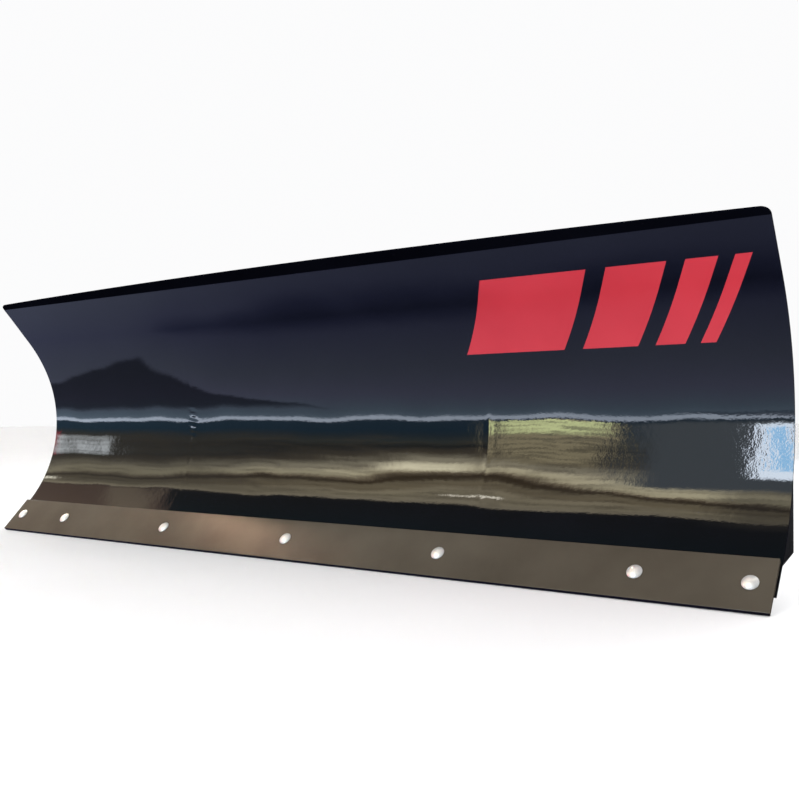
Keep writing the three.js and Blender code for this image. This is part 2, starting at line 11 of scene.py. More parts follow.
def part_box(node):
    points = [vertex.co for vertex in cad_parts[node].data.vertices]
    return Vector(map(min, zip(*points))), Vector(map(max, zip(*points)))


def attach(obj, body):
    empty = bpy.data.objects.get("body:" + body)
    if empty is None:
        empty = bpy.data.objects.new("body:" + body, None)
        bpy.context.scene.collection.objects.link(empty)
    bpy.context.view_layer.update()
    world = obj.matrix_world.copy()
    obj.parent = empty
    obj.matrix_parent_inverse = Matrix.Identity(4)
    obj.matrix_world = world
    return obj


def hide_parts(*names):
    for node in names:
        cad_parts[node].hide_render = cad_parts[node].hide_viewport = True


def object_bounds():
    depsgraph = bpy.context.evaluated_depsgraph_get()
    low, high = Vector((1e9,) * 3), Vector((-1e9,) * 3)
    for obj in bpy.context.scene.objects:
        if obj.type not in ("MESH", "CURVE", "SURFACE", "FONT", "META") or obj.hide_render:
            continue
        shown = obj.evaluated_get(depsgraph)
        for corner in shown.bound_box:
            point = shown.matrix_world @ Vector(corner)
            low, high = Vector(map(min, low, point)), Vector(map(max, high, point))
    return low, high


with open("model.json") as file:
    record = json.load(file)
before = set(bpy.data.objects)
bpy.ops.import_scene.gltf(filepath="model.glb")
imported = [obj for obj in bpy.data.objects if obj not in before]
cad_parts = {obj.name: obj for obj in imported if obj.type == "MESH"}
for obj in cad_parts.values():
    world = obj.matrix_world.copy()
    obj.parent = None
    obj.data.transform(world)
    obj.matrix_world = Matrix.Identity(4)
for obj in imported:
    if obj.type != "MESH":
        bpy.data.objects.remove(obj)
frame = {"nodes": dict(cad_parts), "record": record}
cad_box = [list(corner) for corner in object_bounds()]
NODES = frame["nodes"]
MM = 0.001

BODY = {n: b for b, members in frame["record"]["behaviour"]["bodies"].items() for n in members}
SLOT = {part["node"]: part["material_slot"] for part in frame["record"]["subparts"]}

# ---- the sheet's curve, in the CAD frame -----------------------------------------------------

SHEET = 3 * MM
LOWER_RADIUS, UPPER_RADIUS, BEND_RADIUS = 240 * MM, 262 * MM, 30 * MM
TOE_LEAN, TOP_LEAN, LIP_BEND = math.radians(43.5), math.radians(41), math.radians(12)
TOE_LENGTH = 50 * MM
TOP_FLAT = 85.5 * MM
LIP_END_LENGTH = 8 * MM
CROWN = 10 * MM
TOP_CORNER = 12 * MM

# The sheet above and below its deepest point: the length of each stretch, and its radius if it curves.
HALF_BEND = BEND_RADIUS * LIP_BEND / 2
ABOVE = (
    (UPPER_RADIUS * TOP_LEAN, UPPER_RADIUS),
    (TOP_FLAT - HALF_BEND, None),
    (2 * HALF_BEND, BEND_RADIUS),
    (1.0, None),
)
BELOW = ((LOWER_RADIUS * TOE_LEAN, LOWER_RADIUS), (1.0, None))
S_BEND = UPPER_RADIUS * TOP_LEAN + TOP_FLAT
S_TOE = -LOWER_RADIUS * TOE_LEAN
S_BOTTOM = S_TOE - TOE_LENGTH

sheet_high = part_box("moldboard")[1]
HALF_WIDTH = sheet_high.x
DEEPEST_Y = sheet_high.y - SHEET
rearmost = [v.co.z for v in NODES["moldboard"].data.vertices if v.co.y > sheet_high.y - 0.01 * MM]
DEEPEST_Z = sum(rearmost) / len(rearmost)


def sheet_point(s, behind=0.0):
    """(y, z) on the sheet: s along it from its deepest point, up positive, and behind its front."""
    stretches, way = (ABOVE, 1) if s > 0 else (BELOW, -1)
    left, lean, back, rise = abs(s), 0.0, 0.0, 0.0
    for length, radius in stretches:
        run = min(left, length)
        if radius:
            turned = lean + run / radius
            back += radius * (math.cos(lean) - math.cos(turned))
            rise += radius * (math.sin(turned) - math.sin(lean))
            lean = turned
        else:
            back += run * math.sin(lean)
            rise += run * math.cos(lean)
        left -= run
    y = DEEPEST_Y - back + behind * math.cos(lean)
    z = DEEPEST_Z + way * (rise + behind * math.sin(lean))
    return y, z


def s_at_height(z):
    """The place along the sheet's front face where it is z high."""
    low, high = S_BOTTOM, S_BEND
    for _ in range(40):
        middle = (low + high) / 2
        low, high = (middle, high) if sheet_point(middle)[1] < z else (low, middle)
    return low


# ---- camera ----------------------------------------------------------------------------------

EYE = Vector((1.0046, DEEPEST_Y - 1.1788, 0.2264))
EYE_TURN = math.radians(33.79)
EYE_DOWN = math.radians(0.35)
EYE_ROLL = math.radians(-0.29)
LENS_MM = 40.44
FRAME_SHIFT = (-0.0365, 0.0299)


def make_camera():
    """Stands at the right end, at mid height, and looks along the blade's face."""
    ahead = Vector((-math.sin(EYE_TURN), math.cos(EYE_TURN), -math.tan(EYE_DOWN))).normalized()
    level = Vector((math.cos(EYE_TURN), math.sin(EYE_TURN), 0))
    up = level.cross(ahead)
    right = math.cos(EYE_ROLL) * level + math.sin(EYE_ROLL) * up
    above = math.cos(EYE_ROLL) * up - math.sin(EYE_ROLL) * level
    camera = bpy.data.objects.new("camera", bpy.data.cameras.new("camera"))
    bpy.context.scene.collection.objects.link(camera)
    camera.matrix_world = Matrix.Translation(EYE) @ Matrix((right, above, -ahead)).transposed().to_4x4()
    camera.data.lens = LENS_MM
    camera.data.sensor_width = 36
    camera.data.shift_x, camera.data.shift_y = FRAME_SHIFT
    camera.data.clip_start = 0.01
    bpy.context.scene.camera = camera


make_camera()

# ---- the sheet's waves -----------------------------------------------------------------------

WAVES = (
    # height, length along the blade and length up the sheet in mm, and two phases
    (0.34, 520, 330, 0.4, 1.1),
    (0.22, 293, 240, 2.1, 0.2),
    (0.12, 171, 190, 4.0, 2.6),
    (0.05, 97, 120, 1.3, 5.0),
)
# All of it dies away over this distance, up to the lip's bend and down to the flat toe.
EDGE_FADE = 60 * MM
# A stiffener's weld draws the sheet back along its line, by this many mm all along it...
WELD_PULL = 0.05
# ...and by this much more just below the deepest point.
EXTRA_PULL = 0.30
WELD_PULL_WIDTH, WELD_PULL_LOW, WELD_PULL_REACH = 4.5 * MM, 14 * MM, 30 * MM
# The left one also leaves a small puckered spot, whose waves run a little askew.
PUCKER, PUCKER_WIDTH, PUCKER_REACH, PUCKER_PITCH = 0.32 * MM, 11 * MM, 24 * MM, 14 * MM
PUCKER_SKEW = 12 * MM
RIB_XS = sorted((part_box(n)[0].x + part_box(n)[1].x) / 2 for n in NODES if n.startswith("stiffener_rib"))


def ripple(x, s):
    """How far the sheet is off its ideal curve: rolling waves, the pull of the welds and the pucker."""
    off = 0.0
    for height, along, up, phase_x, phase_s in WAVES:
        wave_x = math.sin(2 * math.pi * x / (along * MM) + phase_x)
        off += height * MM * wave_x * math.sin(2 * math.pi * s / (up * MM) + phase_s)
    edge = min(1.0, (S_BEND - s) / EDGE_FADE, (s - S_TOE) / EDGE_FADE)
    weld = WELD_PULL + EXTRA_PULL * math.exp(-(((s + WELD_PULL_LOW) / WELD_PULL_REACH) ** 2))
    for rib_x in RIB_XS:
        off += weld * MM * math.exp(-(((x - rib_x) / WELD_PULL_WIDTH) ** 2))
    spot = math.exp(-(((x - RIB_XS[0]) / PUCKER_WIDTH) ** 2) - (s / PUCKER_REACH) ** 2)
    off += PUCKER * spot * math.sin(2 * math.pi * s / PUCKER_PITCH + x / PUCKER_SKEW)
    return off * max(0.0, edge)


# ---- mesh helpers ----------------------------------------------------------------------------


def new_object(name, mesh, body, slot):
    """Adds a mesh as a piece that rides on a CAD body, in its slot's finish."""
    piece = bpy.data.objects.new(name, mesh)
    bpy.context.scene.collection.objects.link(piece)
    mesh.materials.clear()
    mesh.materials.append(FINISHES[slot])
    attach(piece, body)
    return piece


def mesh_from(vertices, faces, name="shape"):
    """A mesh whose doubled points are merged and whose faces all look outward."""
    mesh = bpy.data.meshes.new(name)
    mesh.from_pydata([tuple(v) for v in vertices], [], faces)
    mesh.validate()
    shape = bmesh.new()
    shape.from_mesh(mesh)
    bmesh.ops.remove_doubles(shape, verts=shape.verts, dist=1e-7)
    bmesh.ops.recalc_face_normals(shape, faces=shape.faces)
    shape.to_mesh(mesh)
    shape.free()
    return mesh


def smooth(mesh, degrees=35):
    mesh.shade_smooth()
    mesh.set_sharp_from_angle(angle=math.radians(degrees))
    return mesh


def applied(piece):
    """Bakes an object's modifiers into its mesh."""
    depsgraph = bpy.context.evaluated_depsgraph_get()
    baked = bpy.data.meshes.new_from_object(piece.evaluated_get(depsgraph))
    piece.modifiers.clear()
    piece.data = baked
    return piece


def bevelled(piece, width, angle=28):
    """Rounds an object's edges, with even shading across the faces between them."""
    bevel = piece.modifiers.new("bevel", "BEVEL")
    bevel.width = width
    bevel.segments = 2
    bevel.limit_method = "ANGLE"
    bevel.angle_limit = math.radians(angle)
    bevel.use_clamp_overlap = True
    bevel.harden_normals = False
    normals = piece.modifiers.new("normals", "WEIGHTED_NORMAL")
    normals.keep_sharp = True
    normals.weight = 80
    piece.data.shade_smooth()
    return applied(piece)


def add_ring(vertices, rings, place, height, radius_at, segments):
    """Adds a ring of points about Z, whose radius depends on the angle, placed by a matrix."""
    rings.append([])
    for i in range(segments):
        angle = 2 * math.pi * i / segments
        radius = radius_at(angle)
        rings[-1].append(len(vertices))
        vertices.append(place @ Vector((radius * math.cos(angle), radius * math.sin(angle), height)))


def revolved(profile, place, segments):
    """A turned shape from (radius, height) points, about Z, then placed by a matrix."""
    vertices, rings = [], []
    for radius, height in profile:
        add_ring(vertices, rings, place, height, lambda angle: radius, segments if radius else 1)
    return vertices, ring_faces(rings, segments)


def ring_faces(rings, segments):
    """Faces between each ring of points and the next. A ring of one point makes a tip."""
    faces = []
    for low, high in zip(rings, rings[1:]):
        for i in range(segments):
            j = (i + 1) % segments
            corners = [low[i % len(low)], low[j % len(low)], high[j % len(high)], high[i % len(high)]]
            unique = list(dict.fromkeys(corners))
            if len(unique) > 2:
                faces.append(unique)
    return faces


def rounded(points, radius, steps=3):
    """Rounds the inner corners of an open (radius, height) profile."""
    made = [points[0]]
    for before, corner, after in zip(points, points[1:], points[2:]):
        a, b, c = Vector(before), Vector(corner), Vector(after)
        reach = min(radius, (a - b).length / 2.01, (c - b).length / 2.01)
        start, end = b + (a - b).normalized() * reach, b + (c - b).normalized() * reach
        for i in range(steps + 1):
            t = i / steps
            made.append(tuple((1 - t) ** 2 * start + 2 * t * (1 - t) * b + t * t * end))
    made.append(points[-1])
    return made


def aim(axis, origin):
    """A matrix that takes +Z to axis and the origin to origin."""
    turn = Vector((0, 0, 1)).rotation_difference(Vector(axis)).to_matrix().to_4x4()
    return Matrix.Translation(origin) @ turn


def combined(parts, name):
    """One mesh from several (vertices, faces) shapes."""
    vertices, faces = [], []
    for part_vertices, part_faces in parts:
        start = len(vertices)
        vertices += list(part_vertices)
        faces += [[start + i for i in face] for face in part_faces]
    return mesh_from(vertices, faces, name)


def centre(node):
    """The middle of a CAD node's box."""
    low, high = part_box(node)
    return (low + high) / 2


# ---- materials -------------------------------------------------------------------------------


def add_node(tree, kind, sockets=None, **settings):
    """Adds a shader node. Sockets take values or other nodes' outputs."""
    node = tree.nodes.new(kind)
    for setting, value in settings.items():
        setattr(node, setting, value)
    for socket, value in (sockets or {}).items():
        if isinstance(value, bpy.types.NodeSocket):
            tree.links.new(value, node.inputs[socket])
        else:
            node.inputs[socket].default_value = value
    return node


def ramp_node(add, value, stops):
    """A colour ramp through (place, colour) stops, with places from 0 to 1."""
    ramp = add("ShaderNodeValToRGB", {"Fac": value})
    elements = ramp.color_ramp.elements
    for element, (place, colour) in zip(elements, (stops[0], stops[-1])):
        element.position, element.color = place, (*colour, 1)
    for place, colour in stops[1:-1]:
        elements.new(place).color = (*colour, 1)
    return ramp.outputs["Color"]


class Finish:
    """A material with a Principled shader, and short ways to add nodes to it."""

    def __init__(self, name, **sockets):
        self.material = bpy.data.materials.new(name)
        self.material.use_nodes = True
        self.tree = self.material.node_tree
        self.shader = self.tree.nodes["Principled BSDF"]
        self.place = self.add("ShaderNodeTexCoord").outputs["Object"]
        for socket, value in sockets.items():
            self.shader.inputs[socket.replace("_", " ")].default_value = value

    def add(self, kind, sockets=None, **settings):
        return add_node(self.tree, kind, sockets, **settings)

    def stretched(self, scale):
        """Object coordinates, scaled apart along X, Y and Z."""
        return self.add("ShaderNodeMapping", {"Vector": self.place, "Scale": scale}).outputs["Vector"]

    def noise(self, scale, detail=2.0, vector=None, roughness=0.5):
        sockets = {"Vector": vector or self.place, "Scale": scale, "Detail": detail, "Roughness": roughness}
        return self.add("ShaderNodeTexNoise", sockets).outputs["Fac"]

    def between(self, value, low, high):
        """Maps a noise's middle range onto low to high."""
        sockets = {"Value": value, "From Min": 0.3, "From Max": 0.7, "To Min": low, "To Max": high}
        return self.add("ShaderNodeMapRange", sockets).outputs["Result"]

    def colours(self, value, *stops):
        return ramp_node(self.add, value, stops)

    def blend(self, factor, first, second):
        mix = self.add("ShaderNodeMix", {0: factor, 6: first, 7: second}, data_type="RGBA")
        return mix.outputs[2]

    def product(self, first, second):
        return self.add("ShaderNodeMath", {0: first, 1: second}, operation="MULTIPLY").outputs[0]

    def edges(self, radius):
        """1 where the surface turns sharply within the radius, 0 on its flats."""
        soft = self.add("ShaderNodeBevel", {"Radius": radius}, samples=4).outputs["Normal"]
        hard = self.add("ShaderNodeNewGeometry").outputs["Normal"]
        dot = self.add("ShaderNodeVectorMath", {0: soft, 1: hard}, operation="DOT_PRODUCT").outputs["Value"]
        sockets = {"Value": dot, "From Min": 0.97, "From Max": 0.80, "To Min": 0.0, "To Max": 1.0}
        return self.add("ShaderNodeMapRange", sockets).outputs["Result"]

    def bump(self, height, strength, distance, onto=None):
        sockets = {"Height": height, "Strength": strength, "Distance": distance}
        if onto:
            sockets["Normal"] = onto
        return self.add("ShaderNodeBump", sockets).outputs["Normal"]

    def set(self, socket, value):
        self.tree.links.new(value, self.shader.inputs[socket])


def black_paint(name, gloss):
    """Black powder coat, faintly cloudy, with an orange peel. Its gloss is its top coat's weight."""
    paint = Finish(name, Coat_Weight=gloss, Coat_Roughness=0.025, Coat_IOR=1.5)
    paint.shader.inputs["Specular IOR Level"].default_value = 0.0
    tone = paint.colours(paint.noise(7, 5), (0.3, (0.0012, 0.0014, 0.0030)), (0.7, (0.0024, 0.0027, 0.0052)))
    paint.set("Base Color", tone)
    paint.set("Roughness", paint.between(paint.noise(30, 4), 0.14, 0.24))
    peel = paint.bump(paint.noise(420, 1.5), 0.055, 0.0004)
    peel = paint.bump(paint.noise(95, 1), 0.05, 0.0008, onto=peel)
    paint.set("Normal", peel)
    paint.set("Coat Normal", peel)
    return paint.material


def frame_paint():
    """Semi-gloss black powder coat on the welded plates, thin and scuffed along the edges."""
    paint = Finish("frame_paint", Coat_Weight=0.35, Coat_Roughness=0.12)
    lighter_edges = paint.product(paint.edges(0.0012), paint.between(paint.noise(160, 6, roughness=0.7), 0.0, 1.0))
    black = paint.colours(paint.noise(14, 6), (0.3, (0.0055, 0.0055, 0.0065)), (0.7, (0.012, 0.012, 0.0135)))
    paint.set("Base Color", paint.blend(lighter_edges, black, (0.075, 0.073, 0.07, 1)))
    paint.set("Roughness", paint.between(paint.noise(60, 5), 0.26, 0.42))
    peel = paint.bump(paint.noise(650, 2), 0.16, 0.0005)
    paint.set("Normal", paint.bump(paint.noise(45, 3), 0.1, 0.0012, onto=peel))
    return paint.material


def bar_finish():
    """Satin coating on the hot-rolled wear bar, with painted light: a brown-grey tone for warm reflected
    light, a painted highlight along its edges and painted shade on its underside.
    """
    bar = Finish("wear_bar_finish", Coat_Weight=0.6, Coat_Roughness=0.16, Coat_IOR=1.5)
    bar.shader.inputs["Specular IOR Level"].default_value = 0.0
    streaks = bar.noise(36, 4, bar.stretched((0.15, 1.6, 1.6)), roughness=0.55)
    # Painted reflection: the brown-grey base tone stands in for warm light on the bar's dark coat, and it
    # shifts at random.
    tone = bar.colours(bar.noise(9, 5), (0.3, (0.056, 0.046, 0.034)), (0.7, (0.084, 0.071, 0.054)))
    # Painted highlight: the bar's edges are lightened, broken up by noise.
    lighter_edges = bar.product(bar.edges(0.0015), bar.between(bar.noise(120, 6, roughness=0.7), 0.1, 0.7))
    tone_with_edge_highlight = bar.blend(lighter_edges, tone, (0.14, 0.13, 0.12, 1))
    # Painted shade: faces turned downward are darkened almost to black.
    facing = bar.add("ShaderNodeSeparateXYZ", {0: bar.add("ShaderNodeNewGeometry").outputs["Normal"]})
    below = bar.add("ShaderNodeMapRange", {"Value": facing.outputs["Z"], "From Min": -0.1, "From Max": -0.6})
    bar.set("Base Color", bar.blend(below.outputs["Result"], tone_with_edge_highlight, (0.006, 0.005, 0.009, 1)))
    bar.set("Roughness", bar.between(streaks, 0.3, 0.38))
    grain = bar.bump(streaks, 0.03, 0.0006)
    bar.set("Normal", bar.bump(bar.noise(380, 2), 0.06, 0.0005, onto=grain))
    return bar.material


def zinc_plate():
    """Bright zinc on the fasteners, cloudy and finely marked."""
    zinc = Finish("zinc_hardware", Metallic=0.5)
    cloud = zinc.noise(170, 6, roughness=0.65)
    zinc.set("Base Color", zinc.colours(cloud, (0.3, (0.70, 0.71, 0.71)), (0.7, (0.88, 0.88, 0.87))))
    zinc.set("Roughness", zinc.between(zinc.noise(420, 4), 0.28, 0.45))
    zinc.set("Normal", zinc.bump(zinc.noise(900, 3), 0.14, 0.0003))
    return zinc.material


def red_vinyl():
    """Cut red vinyl film, smooth, with the paint's peel just showing through."""
    film = Finish("red_vinyl", Coat_Weight=0.4, Coat_Roughness=0.15)
    film.shader.inputs["Specular IOR Level"].default_value = 0.4
    tone = film.colours(film.noise(9, 4), (0.3, (0.60, 0.024, 0.040)), (0.7, (0.66, 0.032, 0.050)))
    film.set("Base Color", tone)
    film.set("Roughness", film.between(film.noise(80, 3), 0.3, 0.42))
    film.set("Normal", film.bump(film.noise(420, 1.5), 0.06, 0.0004))
    return film.material


LIP_PAINT = black_paint("lip_paint", 0.0)
FINISHES = {
    "gloss_black_paint": black_paint("gloss_black_paint", 1.0),
    "frame_paint": frame_paint(),
    "wear_bar_finish": bar_finish(),
    "zinc_hardware": zinc_plate(),
    "red_vinyl": red_vinyl(),
}


def add_piece(name, mesh, *nodes):
    """Adds a mesh that stands for one or more CAD nodes, on their body and in their finish."""
    slot = SLOT[nodes[0]]
    piece = new_object(name, mesh, BODY[nodes[0]], slot)
    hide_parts(*nodes)
    return piece


# ---- moldboard -------------------------------------------------------------------------------

COLUMNS = 300
ROWS = 124
LIP_ROWS = 6
# Columns 1 mm apart, this many to each side of a stiffener's weld.
WELD_COLUMNS = 13


def top_at(x):
    """The lip's edge, along the sheet's curve: a shallow crown with rounded ends."""
    end = HALF_WIDTH - TOP_CORNER
    crown_radius = (end**2 + CROWN**2) / (2 * CROWN)
    inner = min(abs(x), end)
    top = S_BEND + LIP_END_LENGTH + CROWN - crown_radius + math.sqrt(crown_radius**2 - inner**2)
    into_corner = abs(x) - end
    if into_corner > 0:
        top -= TOP_CORNER - math.sqrt(max(0.0, TOP_CORNER**2 - into_corner**2))
    return top


def column_xs():
    """Even columns, closer together round the top corners and over the stiffeners' welds."""
    end = HALF_WIDTH - TOP_CORNER
    corner = [end + TOP_CORNER * math.sin(math.radians(a)) for a in (15, 30, 42, 53, 63, 72, 80, 86, 90)]
    middle = [end * (2 * i / COLUMNS - 1) for i in range(COLUMNS + 1)]
    over_welds = [x + step * MM for x in RIB_XS for step in range(-WELD_COLUMNS, WELD_COLUMNS + 1)]
    apart = (WELD_COLUMNS + 0.5) * MM
    clear = [x for x in middle if all(abs(x - rib_x) > apart for rib_x in RIB_XS)]
    return sorted([-x for x in corner] + clear + over_welds + corner)


def row_places(top):
    """Even rows up to the lip's bend, then a few up to its edge, or all below the edge in a corner."""
    bend = min(S_BEND - HALF_BEND, top - 2 * MM)
    rows = [S_BOTTOM + (bend - S_BOTTOM) * row / ROWS for row in range(ROWS)]
    return rows + [bend + (top - bend) * row / LIP_ROWS for row in range(LIP_ROWS + 1)]


def moldboard():
    """The rolled sheet, front and back, closed round its edges."""
    xs = column_xs()
    vertices = []
    for behind in (0.0, SHEET):
        for x in xs:
            for s in row_places(top_at(x)):
                y, z = sheet_point(s, behind - ripple(x, s))
                vertices.append((x, y, z))
    rows = ROWS + LIP_ROWS
    high = rows + 1
    back = len(xs) * high
    last = (len(xs) - 1) * high
    faces = []
    for c in range(len(xs) - 1):
        for r in range(rows):
            a = c * high + r
            faces.append((a, a + high, a + high + 1, a + 1))
            faces.append((back + a, back + a + 1, back + a + high + 1, back + a + high))
        for r in (0, rows):
            a = c * high + r
            faces.append((a, back + a, back + a + high, a + high))
    for r in range(rows):
        for a in (r, last + r):
            faces.append((a, a + 1, back + a + 1, back + a))
    sheet = add_piece("moldboard_sheet", mesh_from(vertices, faces), "moldboard")
    bevelled(sheet, 0.5 * MM, angle=50)

    # The bent lip along the top is dull on its front and its cut edge.
    sheet.data.materials.append(LIP_PAINT)
    bend = sheet_point(S_BEND - HALF_BEND)[1] + 0.1 * MM
    for face in sheet.data.polygons:
        face.material_index = int(face.center.z > bend and face.normal.y < 0)


moldboard()

# ---- decal -----------------------------------------------------------------------------------

FILM = 0.12 * MM
FILM_GAP = 0.05 * MM


def decal_bar(node):
    """One slanted bar of vinyl, laid on the sheet's own waves."""
    low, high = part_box(node)
    bottom_s, top_s = s_at_height(low.z), s_at_height(high.z)
    corners = [v.co for v in NODES[node].data.vertices]
    slant = min(c.x for c in corners if c.z > high.z - MM) - low.x
    width = high.x - low.x - slant
    rows, columns = 44, max(4, round(width / (4 * MM)))
    vertices = []
    for lift in (FILM_GAP, FILM_GAP + FILM):
        for row in range(rows + 1):
            s = bottom_s + (top_s - bottom_s) * row / rows
            shift = slant * (sheet_point(s)[1] - low.z) / (high.z - low.z)
            for column in range(columns + 1):
                x = low.x + shift + width * column / columns
                y, z = sheet_point(s, -lift - ripple(x, s))
                vertices.append((x, y, z))
    across = columns + 1
    layer = across * (rows + 1)
    faces = []
    for row in range(rows):
        for column in range(columns):
            a = row * across + column
            faces.append((a, a + 1, a + across + 1, a + across))
            faces.append((layer + a, layer + a + across, layer + a + across + 1, layer + a + 1))
        for a in (row * across, row * across + columns):
            faces.append((a, a + across, layer + a + across, layer + a))
    for column in range(columns):
        for a in (column, rows * across + column):
            faces.append((a, a + 1, layer + a + 1, layer + a))
    add_piece(node.replace("decal_bar", "vinyl_bar"), smooth(mesh_from(vertices, faces)), node)


for decal_node in sorted(n for n in NODES if n.startswith("decal_bar")):
    decal_bar(decal_node)

# ---- plates from the CAD, with rounded edges -------------------------------------------------


def cleaned(node):
    """A copy of a CAD node's mesh, with doubled points merged and flat faces joined."""
    mesh = NODES[node].data.copy()
    shape = bmesh.new()
    shape.from_mesh(mesh)
    bmesh.ops.remove_doubles(shape, verts=shape.verts, dist=2e-6)
    bmesh.ops.dissolve_limit(shape, angle_limit=math.radians(0.4), verts=shape.verts, edges=shape.edges)
    shape.to_mesh(mesh)
    shape.free()
    return mesh


# How far each kind of plate's edges are rounded, as on cut and ground plate.
PLATES = {
    "wear_bar": 0.7 * MM,
    "backing_strip": 0.6 * MM,
    "spring_rail": 0.9 * MM,
    "end_rib": 0.5 * MM,
    "stiffener_rib": 0.6 * MM,
    "pivot_rib": 0.6 * MM,
    "skid_bracket": 0.6 * MM,
    "skid_upright": 0.6 * MM,
    "skid_runner": 0.9 * MM,
    "pivot_pin": 0.4 * MM,
}
for plate_node in sorted(NODES):
    for start, edge_radius in PLATES.items():
        if plate_node.startswith(start):
            bevelled(add_piece(plate_node + "_plate", cleaned(plate_node), plate_node), edge_radius)

# ---- fasteners -------------------------------------------------------------------------------

# 3/8 inch threads: their outer radius, pitch and depth, and half the distance across a nut's flats.
SHANK = 4.75 * MM
PITCH = 1.59 * MM
THREAD_DEPTH = 0.85 * MM
FLATS = 14.3 * MM / 2
TIP_CHAMFER = 1.2 * MM
# A flange nut's flange has an upright rim, and narrows this many times as fast as it rises.
FLANGE_RIM = 1.2 * MM
FLANGE_SLOPE = 2.2
SHANK_SIDES, HEX_SIDES, WASHER_SIDES = 32, 72, 56


def threaded(tip, run, smooth_to, place):
    """A shank with a real helical thread: its tip at `tip`, threaded for `run`, then smooth. About Z."""
    step = PITCH / 8
    count = round(run / step)
    vertices, rings = [place @ Vector((0, 0, tip))], [[0]]
    for k in range(count + 1):
        along = k * step
        fade = min(1.0, (run - along) / PITCH)
        chamfer = SHANK - TIP_CHAMFER + along

        def radius_at(angle):
            phase = (along / PITCH - angle / (2 * math.pi)) % 1.0
            cut = THREAD_DEPTH * fade * (0.5 - 0.5 * math.cos(2 * math.pi * phase)) ** 0.8
            return min(SHANK - cut, chamfer)

        add_ring(vertices, rings, place, tip + along, radius_at, SHANK_SIDES)
    add_ring(vertices, rings, place, smooth_to, lambda angle: SHANK, SHANK_SIDES)
    rings.append([len(vertices)])
    vertices.append(place @ Vector((0, 0, smooth_to)))
    return vertices, ring_faces(rings, SHANK_SIDES)


def hex_radius(angle):
    """The radius of a hexagon of the fasteners' size at an angle."""
    return FLATS / math.cos((angle + math.pi / 6) % (math.pi / 3) - math.pi / 6)


def hex_shape(bottom, top, place, bore=0.0, flange=0.0):
    """A hexagonal head or nut with chamfered corners, from bottom to top along Z; it may be bored."""
    slope = math.tan(math.radians(30))
    face = FLATS * 0.97
    heights = [0, 0.12, 0.3, 0.5, 0.8, 1.2]
    levels = [bottom + h * MM for h in heights] + [top - h * MM for h in reversed(heights)]
    vertices, rings = [], []

    def outer(height):
        near = min(height - bottom, top - height)
        limit = face + near / slope
        skirt = flange - max(0.0, height - bottom - FLANGE_RIM) * FLANGE_SLOPE if flange else 0.0
        return lambda angle: max(min(hex_radius(angle), limit), skirt)

    inner = (lambda angle: bore) if bore else (lambda angle: 0.02 * MM)
    add_ring(vertices, rings, place, bottom, inner, HEX_SIDES)
    for height in levels:
        add_ring(vertices, rings, place, height, outer(height), HEX_SIDES)
    add_ring(vertices, rings, place, top, inner, HEX_SIDES)
    if bore:
        rings.append(rings[0])
        return vertices, ring_faces(rings, HEX_SIDES)
    faces = ring_faces(rings, HEX_SIDES)
    faces.append(list(reversed(rings[0])))
    faces.append(rings[-1])
    return vertices, faces


X_AXIS, Y_AXIS = Vector((1, 0, 0)), Vector((0, 1, 0))
TOE_NORMAL = Vector((0, -math.cos(TOE_LEAN), math.sin(TOE_LEAN)))


def along_axis(node, axis):
    """The lowest and highest place of a CAD node along an axis."""
    places = [v.co.dot(axis) for v in NODES[node].data.vertices]
    return min(places), max(places)


def on_axis(node, axis):
    """A matrix with Z along axis, through the node's centre, that measures Z as the place along axis."""
    middle = centre(node)
    return aim(axis, middle - axis * middle.dot(axis))


def carriage_bolt(node):
    """Domed head with a small rim, and a threaded tip behind the nut."""
    place = on_axis(node, TOE_NORMAL)
    tip, crown = along_axis(node, TOE_NORMAL)
    radius, rise, rim, thread = 10.3 * MM, 3.9 * MM, 1.0 * MM, 16 * MM
    seat = crown - rise - rim
    dome = (radius**2 + rise**2) / (2 * rise)
    spread = math.asin(radius / dome)
    turns = [spread * k / 12 for k in range(12, -1, -1)]
    arc = [(dome * math.sin(turn), crown - dome * (1 - math.cos(turn))) for turn in turns]
    profile = rounded([(0.0, seat), (radius, seat), (radius, arc[0][1]), arc[1]], 0.45 * MM)
    head = revolved(profile[:-1] + arc[1:-1] + [(0.0, crown)], place, 64)
    shank = threaded(tip, thread, seat + 0.2 * MM, place)
    mesh = smooth(combined([head, shank], node), 40)
    add_piece(node.replace("wear_bolt", "carriage_bolt"), mesh, node)


def nut(node, axis, flange=0.0):
    """A chamfered hexagonal nut whose bearing face is its lower end along axis."""
    low, high = along_axis(node, axis)
    shape = hex_shape(low, high, on_axis(node, axis), bore=SHANK - 0.35 * MM, flange=flange)
    add_piece(node + "_hex", smooth(mesh_from(*shape, node), 22), node)


def hex_bolt(node, axis):
    """A hex head bolt whose head is its lower end along axis, with a threaded tip."""
    head_height, thread = 6.2 * MM, 20 * MM
    low, high = along_axis(node, axis)
    head = hex_shape(low, low + head_height, on_axis(node, axis))
    tip = threaded(-high, thread, -low - head_height / 2, on_axis(node, -axis))
    add_piece(node + "_hex", smooth(combined([head, tip], node), 22), node)


def washer(node, axis):
    """A flat washer with rounded edges, turned as one closed loop."""
    low, high = along_axis(node, axis)
    outer, inner = 11 * MM, 5.1 * MM
    seam = ((inner + outer) / 2, low)
    profile = rounded([seam, (outer, low), (outer, high), (inner, high), (inner, low), seam], 0.4 * MM)
    vertices, faces = revolved(profile[:-1], on_axis(node, axis), WASHER_SIDES)
    last_ring = list(range(len(vertices) - WASHER_SIDES, len(vertices)))
    faces += ring_faces([last_ring, list(range(WASHER_SIDES))], WASHER_SIDES)
    add_piece(node + "_ring", smooth(mesh_from(vertices, faces, node), 40), node)


